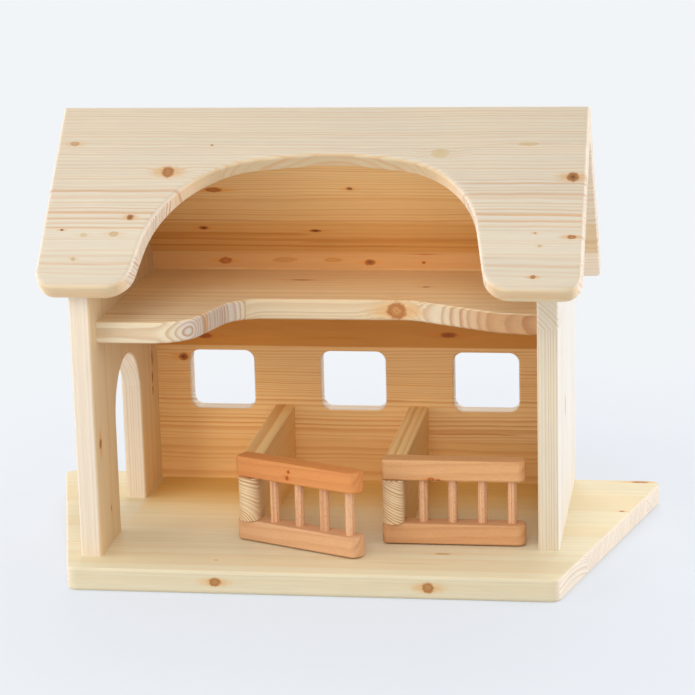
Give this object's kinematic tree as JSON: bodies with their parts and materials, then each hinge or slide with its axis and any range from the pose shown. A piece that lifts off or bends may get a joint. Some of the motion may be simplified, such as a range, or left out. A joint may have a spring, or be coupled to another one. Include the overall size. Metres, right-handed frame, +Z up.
{
  "type": "toy barn",
  "caption": "Wooden toy barn with an arched open roof front, a wavy loft floor, a side doorway, back windows and swinging slatted stall gates on a tapered base.",
  "frame": {"origin": "centre of the bounding box on the underside of the base", "axes": "+Z up, -Y towards the open front with the gates, +X to the right seen from the front"},
  "size_m": [0.556, 0.3018, 0.3863],
  "materials": {
    "wall_wood": "glued spruce board, bare and sanded",
    "roof_wood": "glued spruce board, bare and sanded",
    "base_wood": "glued spruce board, bare and sanded",
    "loft_wood": "spruce board, bare and sanded",
    "divider_wood": "spruce board, bare and sanded",
    "rail_wood": "reddish alder or cherry, bare and sanded",
    "slat_wood": "turned beech rod, bare",
    "dowel_wood": "grooved beech dowel, bare"
  },
  "bodies": {
    "barn": {"base_board": "base_wood", "left_wall": "wall_wood", "right_wall": "wall_wood", "back_wall": "wall_wood", "loft_floor": "loft_wood", "roof_front": "roof_wood", "roof_back": "roof_wood", "left_divider": "divider_wood", "right_divider": "divider_wood", "left_wall_dowels": "dowel_wood", "right_wall_dowels": "dowel_wood", "back_wall_dowels": "dowel_wood", "divider_dowels": "dowel_wood", "corner_dowels": "dowel_wood", "loft_dowels": "dowel_wood", "roof_front_dowels": "dowel_wood", "roof_back_dowels": "dowel_wood", "ridge_dowels": "dowel_wood"},
    "left_gate": {"left_gate_bottom_rail": "rail_wood", "left_gate_top_rail": "rail_wood", "left_gate_hinge_pin": "slat_wood", "left_gate_slat_1": "slat_wood", "left_gate_slat_2": "slat_wood", "left_gate_slat_3": "slat_wood", "left_gate_slat_4": "slat_wood"},
    "right_gate": {"right_gate_bottom_rail": "rail_wood", "right_gate_top_rail": "rail_wood", "right_gate_hinge_pin": "slat_wood", "right_gate_slat_1": "slat_wood", "right_gate_slat_2": "slat_wood", "right_gate_slat_3": "slat_wood", "right_gate_slat_4": "slat_wood"}
  },
  "joints": [
    {"name": "left_gate_hinge", "type": "hinge", "parent": "barn", "child": "left_gate", "pos_m": [-0.0645, -0.06112, 0.058], "axis": [0, 0, 1], "range_deg": [-76, 49]},
    {"name": "right_gate_hinge", "type": "hinge", "parent": "barn", "child": "right_gate", "pos_m": [0.0595, -0.06112, 0.058], "axis": [0, 0, 1], "range_deg": [-100, 25]}
  ]
}
